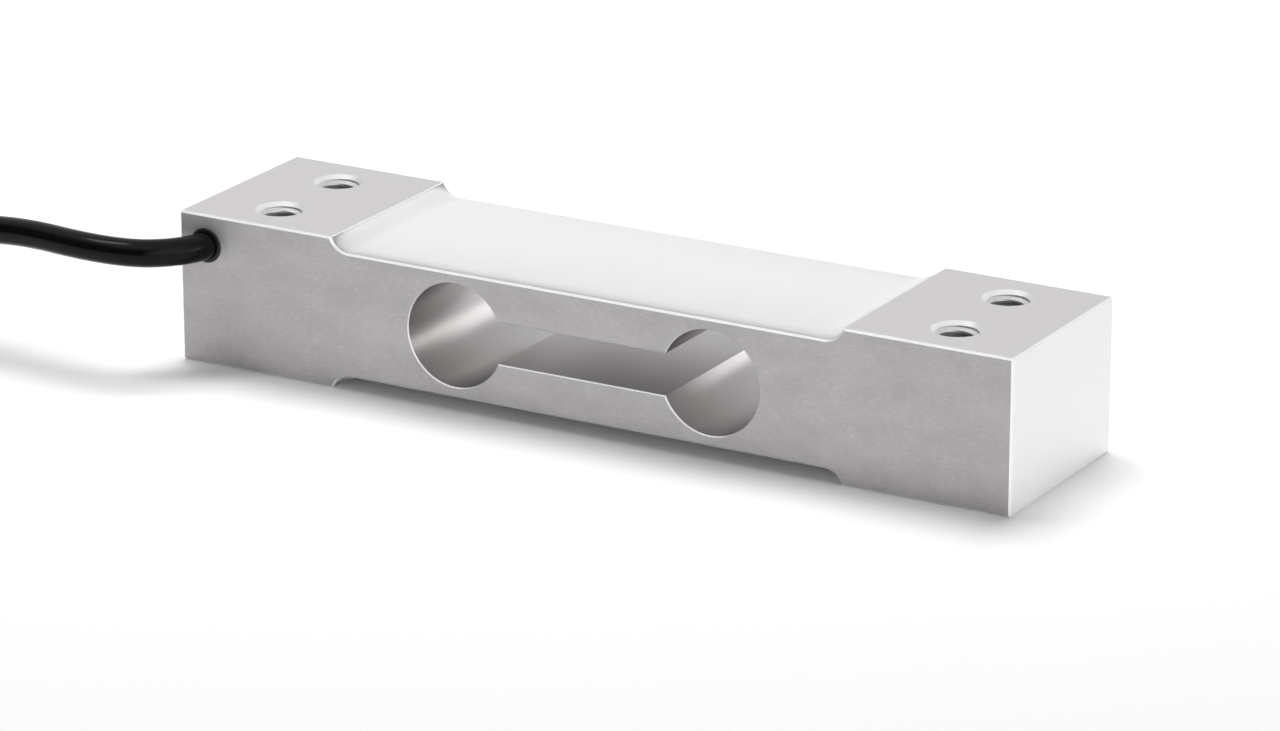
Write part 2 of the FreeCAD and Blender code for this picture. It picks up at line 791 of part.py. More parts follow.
def pile_outline(inflate, low, high):
    """The outline round the pile from one layer of turns to another, this much outside them."""
    middle, reach = S["coil_middle_radius"], S["cable_diameter"] / 2 + inflate
    width = {layer: S["cable_diameter"] * (1 - layer / 2) for layer in (low, high)}
    lift = {layer: coil_floor + layer * layer_rise for layer in (low, high)}
    lean_x, lean_z = reach * LEAN, reach / 2
    outline = [
        (middle + width[low], lift[low] - reach, reach, 1),
        (middle + width[low] + lean_x, lift[low] + lean_z),
    ]
    if high == 2:
        outline += [(middle + lean_x, lift[high] + lean_z, reach, 1), (middle - lean_x, lift[high] + lean_z)]
    else:
        outline += [
            (middle + width[high] + lean_x, lift[high] + lean_z, reach, 1),
            (middle + width[high], lift[high] + reach),
            (middle - width[high], lift[high] + reach, reach, 1),
            (middle - width[high] - lean_x, lift[high] + lean_z),
        ]
    outline += [(middle - width[low] - lean_x, lift[low] + lean_z, reach, 1), (middle - width[low], lift[low] - reach)]
    return outline


def ring_part(name, outlines, angle, start, circle=None):
    """A part of the coil: a section turned about the coil's axis, from one angle through another."""
    body = new_body(name)
    sketch = new_sketch(body, "section", "XZ_Plane")
    for outline in outlines:
        draw_outline(sketch, outline)
    if circle:
        draw_circle(sketch, *circle)
    turned = body.newObject("PartDesign::Revolution", "turned")
    turned.Profile = sketch
    turned.ReferenceAxis = (sketch, ["V_Axis"])
    bind(turned, "Angle", angle)
    place(body, S["coil_x"], S["coil_y"], 0)
    bind(body, "Placement.Rotation.Angle", start)
    return body


def make_coil():
    """The rest of the cable, wound up beside the load cell, with its tie and its free end."""
    base = ring_part("two_layers", [pile_outline(0, 0, 1)], as_size(360), as_size(0))
    ridge = ring_part("top_layer", [pile_outline(0, 1, 2)], S["ridge_angle"], S["ridge_start"])
    stub = doc.addObject("Part::Cylinder", "stub")
    bind(stub, "Radius", S["cable_diameter"] / 2)
    bind(stub, "Height", S["coil_stub"] - S["coil_stub_root"])
    place(stub, S["coil_x"] + S["coil_stub_root"], S["coil_y"] - coil_outer, coil_floor, axis=(0, 1, 0), angle=90)
    coil = doc.addObject("Part::MultiFuse", "coil")
    coil.Shapes = [base, ridge, stub]
    node(coil, "cable_coil")

    tie_start = as_size(180) - S["tie_angle"] / 2
    outlines = [pile_outline(S["tie_thickness"], 0, 2), pile_outline(0, 0, 2)]
    node(ring_part("tie", outlines, S["tie_angle"], tie_start), "coil_tie")

    sleeve_z = coil_floor + layer_rise + S["cable_diameter"] / 2 + S["sleeve_diameter"] / 2
    sleeve_start = S["ridge_start"] - S["sleeve_angle"]
    spot = (S["coil_middle_radius"], sleeve_z, S["sleeve_diameter"])
    node(ring_part("sleeve", [], S["sleeve_angle"], sleeve_start, spot), "end_sleeve")

    tail_start = sleeve_start - S["tail_angle"]
    tips = []
    for index, name in enumerate(CORE_NAMES):
        radius = S["coil_middle_radius"] + (index - 1.5) * S["tail_pitch"]
        spot = (radius, sleeve_z - S["tail_drop"], S["tail_diameter"])
        node(ring_part(f"tail_{name}", [], S["tail_angle"], tail_start, spot), f"tail_{name}")
        tip = (radius, sleeve_z - S["tail_drop"], S["tail_tip_diameter"])
        tips.append(ring_part(f"tip_{name}", [], S["tail_tip_angle"], tail_start - S["tail_tip_angle"], tip))
    bare = doc.addObject("Part::Compound", "tips")
    bare.Links = tips
    node(bare, "tail_tips")


def check_and_write():
    """Writes each piece to a file of its own, once the whole document has computed."""
    doc.recompute()
    for thing in doc.Objects:
        if "Invalid" in thing.State or "Error" in thing.State:
            raise RuntimeError(f"{thing.Label} did not compute: {thing.State}")
    for part in parts:
        if part.Shape.isNull() or not part.Shape.isValid() or not part.Shape.Solids:
            raise RuntimeError(f"{part.Label} has no valid solid")
    os.makedirs("parts", exist_ok=True)
    for part in parts:
        part.Shape.exportStep(f"parts/{part.Label}.step")
        box = part.Shape.BoundBox
        corners = [round(value, 2) for value in (box.XMin, box.YMin, box.ZMin, box.XMax, box.YMax, box.ZMax)]
        print(f"{part.Label}: {len(part.Shape.Solids)} solids, {part.Shape.Volume:.2f} mm3, {corners}")
    print(f"{len(parts)} nodes")


make_beam()
held = {"top": [], "bottom": []}
for gauge, (where, end_side) in GAUGES.items():
    held[where.name].append(make_backing(gauge, where, end_side))
    held[where.name].append(make_grid(gauge, where, end_side))
for where in (TOP, BOTTOM):
    held[where.name] += make_board(where)
    held[where.name].append(make_wires(f"gauge_leads_{where.name}", gauge_lead_routes(where), S["lead_diameter"]))
held["top"] += [make_resistor("zero_resistor", 0), make_resistor("span_resistor", 2)]
bridge_leads = make_wires("bridge_leads", bridge_lead_routes(), S["lead_diameter"])
cores = [make_wires(f"core_{name}", [route], S["core_diameter"]) for name, route in zip(CORE_NAMES, core_routes())]
make_fill(TOP, held["top"] + [bridge_leads])
make_fill(BOTTOM, held["bottom"] + [bridge_leads] + cores)
make_bush()
make_bore_potting(cores)
make_cable(coil_floor)
make_coil()
check_and_write()
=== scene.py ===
# %% [markdown]
# # A single point load cell
# The object is a machined aluminium beam with a binocular cut-out, white silicone poured over its strain
# gauges, and a black cable. The measured solids come in as a fixed frame. This notebook gives them their
# finishes, and adds what the solids leave plain: the screw threads, the poured silicone's surface and the
# cable with its coil.

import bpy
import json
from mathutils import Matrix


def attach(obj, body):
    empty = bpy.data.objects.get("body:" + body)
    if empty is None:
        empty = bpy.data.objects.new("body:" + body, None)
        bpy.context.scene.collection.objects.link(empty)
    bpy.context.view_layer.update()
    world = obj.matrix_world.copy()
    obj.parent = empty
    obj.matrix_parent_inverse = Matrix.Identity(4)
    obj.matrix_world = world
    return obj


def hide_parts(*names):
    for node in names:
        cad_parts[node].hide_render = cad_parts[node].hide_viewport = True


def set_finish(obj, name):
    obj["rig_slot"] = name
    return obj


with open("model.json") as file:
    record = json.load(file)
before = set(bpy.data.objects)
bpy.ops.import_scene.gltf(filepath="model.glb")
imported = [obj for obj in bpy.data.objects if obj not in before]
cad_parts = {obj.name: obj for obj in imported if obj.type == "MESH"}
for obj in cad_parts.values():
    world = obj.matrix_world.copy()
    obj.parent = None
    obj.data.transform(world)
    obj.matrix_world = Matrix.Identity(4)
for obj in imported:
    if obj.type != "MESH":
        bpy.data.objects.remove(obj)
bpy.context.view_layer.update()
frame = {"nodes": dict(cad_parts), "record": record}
nodes = frame["nodes"]
print("solids loaded:", len(nodes))

# %% Tools for the rest of the notebook
import json
import math

import bmesh
import bpy
from mathutils import Vector, noise

MM = 0.001
BODY = "root"

# %% [markdown]
# ## The camera
# The viewpoint was worked out from the beam's corners, as a long lens about 0.8 m away. It comes first,
# because everything after it is judged through it.

# %% Set up the camera
EYE = Vector((383.18, -667.32, 268.92)) * MM
LOOK_AT = Vector((1.30, -1.15, 6.19)) * MM

lens = bpy.data.cameras.new("product_camera")
lens.sensor_width = 36.0
lens.lens = 166.16
lens.clip_start = 0.02
lens.clip_end = 30.0
camera = bpy.data.objects.new("product_camera", lens)
camera.location = EYE
camera.rotation_euler = (LOOK_AT - EYE).to_track_quat("-Z", "Y").to_euler()
bpy.context.scene.collection.objects.link(camera)
bpy.context.scene.camera = camera
print(f"camera {EYE.length:.2f} m out, lens {lens.lens:.0f} mm")

# %% [markdown]
# ## The cable's path
# The cable leaves its bush straight, turns along the beam at once, and then runs level before it comes down
# to the table. A NURBS curve of order 3 makes a smooth line out of a few listed control points: it
# touches the middle of each span between them.

# %% Route from the bush to the table
CABLE_DIAMETER = 4.0
ROUTE = [
    (-60.7, -9.2, 17.5),
    (-60.7, -12.5, 17.5),
    (-60.7, -16.5, 17.5),
    (-63.5, -20.8, 17.5),
    (-67.7, -23.3, 17.5),
    (-75.0, -24.1, 17.6),
    (-86.0, -22.9, 17.7),
    (-96.0, -22.6, 16.6),
    (-103.5, -23.2, 12.6),
    (-111.0, -23.9, 6.9),
    (-119.5, -24.17, 2.4),
    (-129.0, -24.17, 2.4),
    (-139.0, -24.17, 2.4),
]
print("hand-placed route points:", len(ROUTE))

# %% [markdown]
# ## The coil
# The rest of the cable is wound up for storage: three turns on the table, two in the grooves between them
# and most of one on top. Each turn keeps its radius, then shifts to the next one over a short arc, and a
# simple rule sets its height: a turn rests on whatever lies under it.

# %% How far out each turn lies
COIL_CENTRE = Vector((-148.0, 2.33, 0.0))
COIL_START = -90.0
LOWEST = 2.4
STEP_DEGREES = 10.0
COIL_STEPS_A_TURN = round(360 / STEP_DEGREES)
COIL_LENGTH_DEGREES = 1995.0
# Each shift: where it starts and ends in degrees of winding, and the radius that it leads to.
FIRST_RADIUS = 26.5
SHIFTS = [
    (305.0, 360.0, 22.5),
    (665.0, 720.0, 18.5),
    (1005.0, 1075.0, 20.5),
    (1355.0, 1410.0, 24.5),
    (1725.0, 1780.0, 22.5),
]


def coil_radius(wound):
    """The radius of the cable's centreline after this many degrees of winding."""
    radius = FIRST_RADIUS
    for start, end, target in SHIFTS:
        share = min(max((wound - start) / (end - start), 0.0), 1.0)
        radius += (target - radius) * share * share * (3 - 2 * share)
    return radius


sample_radii = [round(coil_radius(wound), 1) for wound in (0, 1000, COIL_LENGTH_DEGREES)]
print("radius at the start, middle and end:", sample_radii)

# %% Let each turn rest on those under it
wound_steps = [step * STEP_DEGREES for step in range(int(COIL_LENGTH_DEGREES / STEP_DEGREES) + 1)]
coil_heights = []
for index, wound in enumerate(wound_steps):
    height = LOWEST
    earlier = index - COIL_STEPS_A_TURN
    while earlier >= 0:
        sideways = coil_radius(wound) - coil_radius(wound_steps[earlier])
        if abs(sideways) < CABLE_DIAMETER:
            resting = coil_heights[earlier] + math.sqrt(CABLE_DIAMETER**2 - sideways**2)
            height = max(height, resting)
        earlier -= COIL_STEPS_A_TURN
    coil_heights.append(height)
print(f"top turn's centre at {max(coil_heights):.1f} mm")

# %% Turn the winding into control points
# A curve of this order runs inside its control points, so they stand out by this factor.
STAND_OUT = 1 / math.cos(math.radians(STEP_DEGREES / 2))
coil_points = []
for wound, height in zip(wound_steps, coil_heights):
    angle = math.radians(COIL_START - wound)
    reach = coil_radius(wound) * STAND_OUT
    coil_points.append(COIL_CENTRE + Vector((reach * math.cos(angle), reach * math.sin(angle), height)))
print("coil points:", len(coil_points))

# %% Build the cable as one curve
cable_curve = bpy.data.curves.new("cable", "CURVE")
cable_curve.dimensions = "3D"
cable_curve.bevel_depth = 1.0
cable_curve.bevel_resolution = 7
cable_curve.resolution_u = 8
cable_curve.use_fill_caps = True
line = cable_curve.splines.new("NURBS")
control_points = [Vector(point) for point in ROUTE] + coil_points[1:]
line.points.add(len(control_points) - 1)
# the bevel is one metre deep times each point's own radius
for point, place in zip(line.points, control_points):
    point.co = (*(place * MM), 1.0)
    point.radius = CABLE_DIAMETER / 2 * MM
line.order_u = 3
line.use_endpoint_u = True
cable = bpy.data.objects.new("cable", cable_curve)
bpy.context.scene.collection.objects.link(cable)
print("control points in the cable:", len(line.points))

cable_length = line.calc_length(resolution=8)
CORD_PIECES = ["coil_tie", "end_sleeve", "tail_tips", "cable_bush"]
CORD_PIECES += ["tail_red", "tail_black", "tail_green", "tail_white"]
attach(cable, BODY)
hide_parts("cable_tube", "cable_coil")
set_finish(cable, "cable_jacket")
print(f"cable is {cable_length:.3f} m long")

# %% [markdown]
# ## A helper for new pieces
# Every new mesh is finished in the same way: doubles are merged, its normals are made to face outwards, it
# is shaded smooth up to an angle, and it joins the solids at their own origin.

# %% Turn a bmesh into a piece
SAME_POINT = 1e-7


def finish_piece(bm, name, slot, smooth_angle=40.0):
    bmesh.ops.remove_doubles(bm, verts=bm.verts[:], dist=SAME_POINT)
    bmesh.ops.recalc_face_normals(bm, faces=bm.faces[:])
    mesh = bpy.data.meshes.new(name)
    bm.to_mesh(mesh)
    bm.free()
    mesh.shade_smooth()
    mesh.set_sharp_from_angle(angle=math.radians(smooth_angle))
    piece = bpy.data.objects.new(name, mesh)
    bpy.context.scene.collection.objects.link(piece)
    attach(piece, BODY)
    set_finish(piece, slot)
    print(f"{name}: {len(mesh.polygons)} faces")
    return piece


# %% [markdown]
# ## The screw threads
# The four holes are tapped M6: a ridge with 60 degree flanks winds down the wall, one millimetre a turn.
# A spin that also climbs a little at each step makes exactly that helix from a four-cornered section. The
# countersinks at both mouths then cut into the first turn, so the points there are pushed out to the cone.

# %% Dimensions of the thread
HOLE_PLACES = [(x, y) for x in (-53.0, 53.0) for y in (-7.5, 7.5)]
BEAM_HEIGHT = 22.0
THREAD_PITCH = 1.0
WALL_RADIUS = 3.0
# the ridge is rooted a little way inside the wall, so that no gap shows
ROOT_RADIUS = WALL_RADIUS + 0.02
CREST_RADIUS = 2.46
MOUTH_RADIUS = 3.55
CONE_GAP = 0.01
RIDGE_SECTION = [
    (ROOT_RADIUS, 0.0),
    (CREST_RADIUS, 0.32),
    (CREST_RADIUS, 0.55),
    (ROOT_RADIUS, 0.87),
]
STEPS_A_TURN = 30
thread_turns = int((BEAM_HEIGHT - THREAD_PITCH) / THREAD_PITCH)
print("turns of thread in a hole:", thread_turns)

# %% Wind the thread and set it in the four holes
thread_bm = bmesh.new()
for hole_x, hole_y in HOLE_PLACES:
    first_z = (BEAM_HEIGHT - thread_turns * THREAD_PITCH) / 2 - RIDGE_SECTION[-1][1] / 2
    corners = [thread_bm.verts.new((radius, 0, first_z + height)) for radius, height in RIDGE_SECTION]
    section = [thread_bm.edges.new((corners[i], corners[(i + 1) % 4])) for i in range(4)]
    bmesh.ops.contextual_create(thread_bm, geom=section)
    before = set(thread_bm.verts) - set(corners)
    spun = bmesh.ops.spin(
        thread_bm,
        geom=corners + section,
        cent=(0, 0, 0),
        axis=(0, 0, 1),
        dvec=(0, 0, THREAD_PITCH / STEPS_A_TURN),
        angle=math.tau * thread_turns,
        steps=STEPS_A_TURN * thread_turns,
    )
    last_edges = [part for part in spun["geom_last"] if isinstance(part, bmesh.types.BMEdge)]
    bmesh.ops.contextual_create(thread_bm, geom=last_edges)
    for vert in set(thread_bm.verts) - before:
        below_mouth = min(BEAM_HEIGHT - vert.co.z, vert.co.z)
        cone = MOUTH_RADIUS - below_mouth + CONE_GAP
        radius = Vector(vert.co.xy).length
        if radius < cone:
            vert.co.xy *= cone / radius
        vert.co += Vector((hole_x, hole_y, 0))
bmesh.ops.scale(thread_bm, vec=(MM, MM, MM), verts=thread_bm.verts[:])
threads = finish_piece(thread_bm, "mount_threads", "machined_aluminium", smooth_angle=25.0)

# %% [markdown]
# ## The silicone
# The white silicone was poured into each recess and settled into a shallow crown. It falls off in a soft
# shoulder just inside the beam's sides, and climbs gently to a thin film at the curved ends. Where it climbs,
# the shoulder is wider. One dense grid takes that form: its faces are extruded up, the upper points follow
# the pour and the lower ones the floor.

# %% The recess and the pour, in millimetres from the recess floor
RECESS_HALF = 40.0
RECESS_CORNER = 3.0
RECESS_DEPTH = 2.0
corner_foot = RECESS_HALF - math.sqrt(RECESS_CORNER**2 - (RECESS_CORNER - RECESS_DEPTH) ** 2)
POUR_HALF_WIDTH = 14.69
SHOULDER_WIDTH = 2.1
SIDE_HEIGHT = 0.03
FILM = 0.12
CLIMB_LENGTH = 3.7
CORNER_WIDENING = 3.4
EDGE_HEIGHT = 0.5
TOP_CROWN = 0.95
BOTTOM_CROWN = 1.5
RIPPLE_HEIGHT = 0.03
RIPPLE_SLICE = 5.0
FLOOR_GAP = 0.01
END_GAP = 0.045
END_CROWDING = 0.9


def floor_height(x):
    """The recess floor, and its curved rise at each end."""
    past = max(abs(x) - corner_foot, 0.0)
    return RECESS_CORNER - math.sqrt(RECESS_CORNER**2 - past**2)


def pour_height(x, y, crown):
    """The silicone's surface: a shallow crown across, a gentle climb at each end and a soft shoulder."""
    across = min(abs(y) / (POUR_HALF_WIDTH - SHOULDER_WIDTH), 1.0)
    height = EDGE_HEIGHT + (crown - EDGE_HEIGHT) * (1 - across**2)
    climb = min(max(abs(x) - (RECESS_HALF - FILM - CLIMB_LENGTH), 0.0) / CLIMB_LENGTH, 1.0)
    height += (RECESS_DEPTH - FILM - height) * climb * climb * (3 - 2 * climb)
    side = min(floor_height(x) + SIDE_HEIGHT, height)
    # the shoulder widens where the surface climbs, so it never gets steep
    shoulder = SHOULDER_WIDTH + CORNER_WIDENING * climb
    over = max(abs(y) - (POUR_HALF_WIDTH - shoulder), 0.0) / shoulder
    height = side + (height - side) * (1 - over**2)
    # the ripple dies away before the rim
    ripple = noise.noise(Vector((x / 9.0, y / 6.0, RIPPLE_SLICE))) * RIPPLE_HEIGHT
    fade = min((POUR_HALF_WIDTH - abs(y)) / 2.0, (RECESS_HALF - abs(x)) / 4.0, 1.0)
    return max(height + ripple * max(fade, 0.0), floor_height(x) + FLOOR_GAP)


print("highest point of the upper pour:", round(pour_height(0, 0, TOP_CROWN), 2), "mm")

# %% Pour it
def pour(name, replaced, floor_z, side, crown):
    bm = bmesh.new()
    bmesh.ops.create_grid(bm, x_segments=220, y_segments=90, size=1.0)
    half_length = RECESS_HALF - END_GAP
    # rows crowd together towards the ends and the sides, where the surface bends most
    end_turn = math.pi / 2 * END_CROWDING
    for vert in bm.verts:
        vert.co.x = math.sin(vert.co.x * end_turn) / math.sin(end_turn) * half_length
        vert.co.y = math.sin(vert.co.y * math.pi / 2) * POUR_HALF_WIDTH
    under = bm.verts[:]
    raised = bmesh.ops.extrude_face_region(bm, geom=bm.faces[:])
    upper = [part for part in raised["geom"] if isinstance(part, bmesh.types.BMVert)]
    for vert in upper:
        vert.co.z = floor_z + side * pour_height(vert.co.x, vert.co.y, crown)
    for vert in under:
        vert.co.z = floor_z + side * floor_height(vert.co.x)
    bmesh.ops.scale(bm, vec=(MM, MM, MM), verts=bm.verts[:])
    piece = finish_piece(bm, name, "white_silicone", smooth_angle=50.0)
    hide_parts(replaced)
    return piece


top_pour = pour("top_silicone", "top_sealant", BEAM_HEIGHT - RECESS_DEPTH, 1, TOP_CROWN)
bottom_pour = pour("bottom_silicone", "bottom_sealant", RECESS_DEPTH, -1, BOTTOM_CROWN)

# %% [markdown]
# ## Tools for materials
# Each finish is a Principled shader with a few texture nodes in front of it. Short helpers keep the node
# code readable: they add a node, make a noise that is stretched to the marks it stands for, and turn that
# noise into a colour, a number or a bump.

# %% Node helpers
def add_node(tree, kind, **values):
    made = tree.nodes.new(kind)
    for name, value in values.items():
        if name in made.inputs:
            made.inputs[name].default_value = value
        else:
            setattr(made, name, value)
    return made


def new_finish(name, roughness, metallic=0.0):
    material = bpy.data.materials.new(name)
    material.use_nodes = True
    shader = material.node_tree.nodes["Principled BSDF"]
    shader.inputs["Roughness"].default_value = roughness
    shader.inputs["Metallic"].default_value = metallic
    return material, material.node_tree, shader


def stretched_noise(tree, marks_mm, detail=3.0):
    """Noise on the object's own coordinates, with marks of about these sizes along X, Y and Z."""
    place = add_node(tree, "ShaderNodeTexCoord")
    mapping = add_node(tree, "ShaderNodeMapping")
    mapping.inputs["Scale"].default_value = [1 / (size * MM) for size in marks_mm]
    grain = add_node(tree, "ShaderNodeTexNoise", Scale=1.0, Detail=detail, Roughness=0.6)
    tree.links.new(place.outputs["Object"], mapping.inputs["Vector"])
    tree.links.new(mapping.outputs["Vector"], grain.inputs["Vector"])
    return grain.outputs["Fac"]


def ramp(tree, value, low, high, low_at=0.3, high_at=0.7):
    """Turns a number, such as a noise, into a colour between two others."""
    made = add_node(tree, "ShaderNodeValToRGB")
    for stop, at, colour in zip(made.color_ramp.elements, (low_at, high_at), (low, high)):
        stop.position = at
        stop.color = (*colour, 1.0)
    tree.links.new(value, made.inputs["Fac"])
    return made.outputs["Color"]


def spread(tree, value, low, high, low_at=0.3, high_at=0.7):
    """Turns a number from one range into another range, and holds it inside that."""
    made = add_node(tree, "ShaderNodeMapRange")
    made.inputs["From Min"].default_value = low_at
    made.inputs["From Max"].default_value = high_at
    made.inputs["To Min"].default_value = low
    made.inputs["To Max"].default_value = high
    tree.links.new(value, made.inputs["Value"])
    return made.outputs["Result"]


def compute(tree, operation, *values):
    """A math node on numbers or on other nodes' outputs."""
    made = add_node(tree, "ShaderNodeMath", operation=operation)
    for socket, value in zip(made.inputs, values):
        if isinstance(value, float):
            socket.default_value = value
        else:
            tree.links.new(value, socket)
    return made.outputs[0]


def mix_numbers(tree, share, first, second):
    """The first number where the share is zero, and the second where it is one."""
    made = add_node(tree, "ShaderNodeMix", data_type="FLOAT")
    for socket, value in zip(("Factor", "A", "B"), (share, first, second)):
        tree.links.new(value, made.inputs[socket])
    return made.outputs["Result"]


def blend(tree, kind, share, first, second):
    """The same for colours, mixed or multiplied. The share is a number or another node's output."""
    made = add_node(tree, "ShaderNodeMix", data_type="RGBA", blend_type=kind)
    tree.links.new(first, made.inputs["A"])
    tree.links.new(second, made.inputs["B"])
    if isinstance(share, float):
        made.inputs["Factor"].default_value = share
    else:
        tree.links.new(share, made.inputs["Factor"])
    return made.outputs["Result"]


def add_bump(tree, shader, height, depth_mm, strength=1.0):
    bump = add_node(tree, "ShaderNodeBump", Strength=strength, Distance=depth_mm * MM)
    tree.links.new(height, bump.inputs["Height"])
    tree.links.new(bump.outputs["Normal"], shader.inputs["Normal"])


print("node helpers ready")

# %% [markdown]
# ## Machined aluminium
# The beam is milled. Its pads are light and satin. Its two sides get a darker copy of the same metal, which
# is painted shade, with cloudy patches, fine flecks and a few bright nicks. Short streaks follow the cutter,
# along the beam on the pads and the sides and across it on the ends, so two stretched noises are mixed by the
# direction that the surface faces. The ends are freshly cut. The broken edges and the countersinks are
# brighter, which is a painted highlight. The bores and the slot are reamed smoother, with faint rings, and
# painted shade darkens them towards the mouth on the -Y side. The threads get painted shade from a little way
# down. Masks made from the place and the facing pick out each of these.

# %% Find the cut-out, the holes and the edges
MID_HEIGHT = BEAM_HEIGHT / 2 * MM
CUTOUT_HALF_LENGTH = 28.5 * MM
CUTOUT_HALF_HEIGHT = 7.8 * MM
HOLES_FROM = 49.5 * MM
HOLES_TO = 56.5 * MM
HOLES_HALF_WIDTH = 12.0 * MM
HOLES_HALF_DEPTH = 10.4 * MM
# how far a normal may lean towards Y on the cut-out's walls, and towards any axis on a slanted edge
WALL_LEAN = 0.5
EDGE_LEAN = 0.87


def split_vector(tree, output):
    parts = add_node(tree, "ShaderNodeSeparateXYZ")
    coordinates = add_node(tree, "ShaderNodeTexCoord")
    tree.links.new(coordinates.outputs[output], parts.inputs["Vector"])
    return parts.outputs


def above_middle(tree, place):
    """The height above the beam's middle, below zero in its lower half."""
    return compute(tree, "SUBTRACT", place["Z"], MID_HEIGHT)


def within(tree, value, limit):
    """One where a value is less than this far from zero, zero elsewhere."""
    return compute(tree, "LESS_THAN", compute(tree, "ABSOLUTE", value), limit)


def all_of(tree, mask, *others):
    """One where every one of the masks is one."""
    for other in others:
        mask = compute(tree, "MULTIPLY", mask, other)
    return mask


def cutout_mask(tree, place, facing):
    """One inside the bores and the slot, zero elsewhere."""
    near_middle = within(tree, place["X"], CUTOUT_HALF_LENGTH)
    near_axis = within(tree, above_middle(tree, place), CUTOUT_HALF_HEIGHT)
    is_wall = within(tree, facing["Y"], WALL_LEAN)
    return all_of(tree, near_middle, near_axis, is_wall)


def hole_mask(tree, place):
    """One on the walls of the four tapped holes and on their threads."""
    far_out = compute(tree, "GREATER_THAN", compute(tree, "ABSOLUTE", place["X"]), HOLES_FROM)
    before_end = within(tree, place["X"], HOLES_TO)
    inside_sides = within(tree, place["Y"], HOLES_HALF_WIDTH)
    past_mouths = within(tree, above_middle(tree, place), HOLES_HALF_DEPTH)
    return all_of(tree, far_out, before_end, inside_sides, past_mouths)


def edge_mask(tree, facing):
    """One where a surface looks along none of the three axes: the broken edges and the countersinks."""
    most = compute(tree, "ABSOLUTE", facing["X"])
    for axis in ("Y", "Z"):
        most = compute(tree, "MAXIMUM", most, compute(tree, "ABSOLUTE", facing[axis]))
    return compute(tree, "LESS_THAN", most, EDGE_LEAN)


print("masks ready")

# %% Tone the sides, the cut-out and the threads
STREAK_RANGE = (0.3, 0.72)


def shaded_side_tone(tree, streaks):
    """A darker copy of the metal for the sides, which is painted shade, with cloudy patches, flecks and
    nicks.
    """
    clouds = stretched_noise(tree, (9.0, 3.0, 4.0), 6.0)
    flecks = stretched_noise(tree, (0.9, 0.5, 0.3), 5.0)
    nicks = stretched_noise(tree, (1.4, 0.5, 0.17), 2.0)
    tone = ramp(tree, streaks, (0.575, 0.558, 0.562), (0.600, 0.583, 0.587), *STREAK_RANGE)
    cloudy = ramp(tree, clouds, (0.925, 0.923, 0.919), (1.005, 1.005, 1.005), 0.38, 0.60)
    flecked = ramp(tree, flecks, (0.963, 0.963, 0.963), (1.035, 1.035, 1.035), 0.40, 0.64)
    nicked = ramp(tree, nicks, (1.0, 1.0, 1.0), (1.15, 1.15, 1.15), 0.58, 0.67)
    for marks in (cloudy, flecked, nicked):
        tone = blend(tree, "MULTIPLY", 1.0, tone, marks)
    return tone


def cutout_tone(tree, place, rings):
    """Reamed metal, with painted shade that darkens the wall towards the mouth on the -Y side."""
    reamed = ramp(tree, rings, (0.545, 0.53, 0.53), (0.585, 0.57, 0.57), 0.3, 0.7)
    # painted shade: the walls darken towards the mouth on the -Y side
    toward_far_mouth = spread(tree, place["Y"], 0.0, 1.0, -14.0 * MM, 12.0 * MM)
    near_mouth_shade = ramp(tree, toward_far_mouth, (0.66, 0.655, 0.65), (1.0, 1.0, 1.0), 0.0, 1.0)
    return blend(tree, "MULTIPLY", 1.0, reamed, near_mouth_shade)


def thread_shade_tone(tree, place):
    """Bright in the first turns of thread. Deeper down, painted shade keeps them dark."""
    from_middle = compute(tree, "ABSOLUTE", above_middle(tree, place))
    near_mouth = spread(tree, from_middle, 0.0, 1.0, 8.6 * MM, 9.5 * MM)
    # painted shade: the threads go dark a little way below each mouth
    return ramp(tree, near_mouth, (0.12, 0.12, 0.12), (0.74, 0.735, 0.73), 0.0, 1.0)


print("tones ready")

# %% Mix the aluminium
def machined_aluminium():
    material, tree, shader = new_finish("machined_aluminium", 0.5, 1.0)
    place, facing = split_vector(tree, "Object"), split_vector(tree, "Normal")
    is_end = spread(tree, compute(tree, "ABSOLUTE", facing["X"]), 0.0, 1.0, 0.6, 0.8)
    is_side = spread(tree, compute(tree, "ABSOLUTE", facing["Y"]), 0.0, 1.0, 0.8, 0.95)
    in_cutout = cutout_mask(tree, place, facing)
    along = stretched_noise(tree, (3.2, 0.4, 0.22), 4.0)
    across = stretched_noise(tree, (0.3, 2.4, 0.25), 4.0)
    rings = stretched_noise(tree, (9.0, 0.3, 9.0), 3.0)
    streaks = mix_numbers(tree, is_end, along, across)
    milled = ramp(tree, streaks, (0.805, 0.785, 0.79), (0.835, 0.815, 0.82), *STREAK_RANGE)
    freshly_cut = ramp(tree, streaks, (0.805, 0.798, 0.80), (0.817, 0.81, 0.812), *STREAK_RANGE)
    # the broken edges and the countersinks get a brighter tone here, which is a painted highlight
    broken = ramp(tree, streaks, (0.91, 0.90, 0.90), (0.94, 0.93, 0.93), *STREAK_RANGE)
    # the sides get a darker copy of the metal, which is painted shade
    tone = blend(tree, "MIX", is_side, milled, shaded_side_tone(tree, streaks))
    tone = blend(tree, "MIX", is_end, tone, freshly_cut)
    tone = blend(tree, "MIX", edge_mask(tree, facing), tone, broken)
    tone = blend(tree, "MIX", in_cutout, tone, cutout_tone(tree, place, rings))
    # the threads' tone carries painted shade deep in the holes
    tone = blend(tree, "MIX", hole_mask(tree, place), tone, thread_shade_tone(tree, place))
    tree.links.new(tone, shader.inputs["Base Color"])
    satin = spread(tree, streaks, 0.50, 0.60)
    smooth = spread(tree, rings, 0.31, 0.36)
    tree.links.new(mix_numbers(tree, in_cutout, satin, smooth), shader.inputs["Roughness"])
    add_bump(tree, shader, mix_numbers(tree, in_cutout, streaks, rings), 0.006, 0.5)
    return material


aluminium = machined_aluminium()
print("aluminium nodes:", len(aluminium.node_tree.nodes))

# %% [markdown]
# ## Poured silicone
# Cured silicone is a soft white with a slight gloss. Its colour hardly varies, so most of the life comes
# from a faint unevenness in the gloss and from light that spreads a little way under the surface.

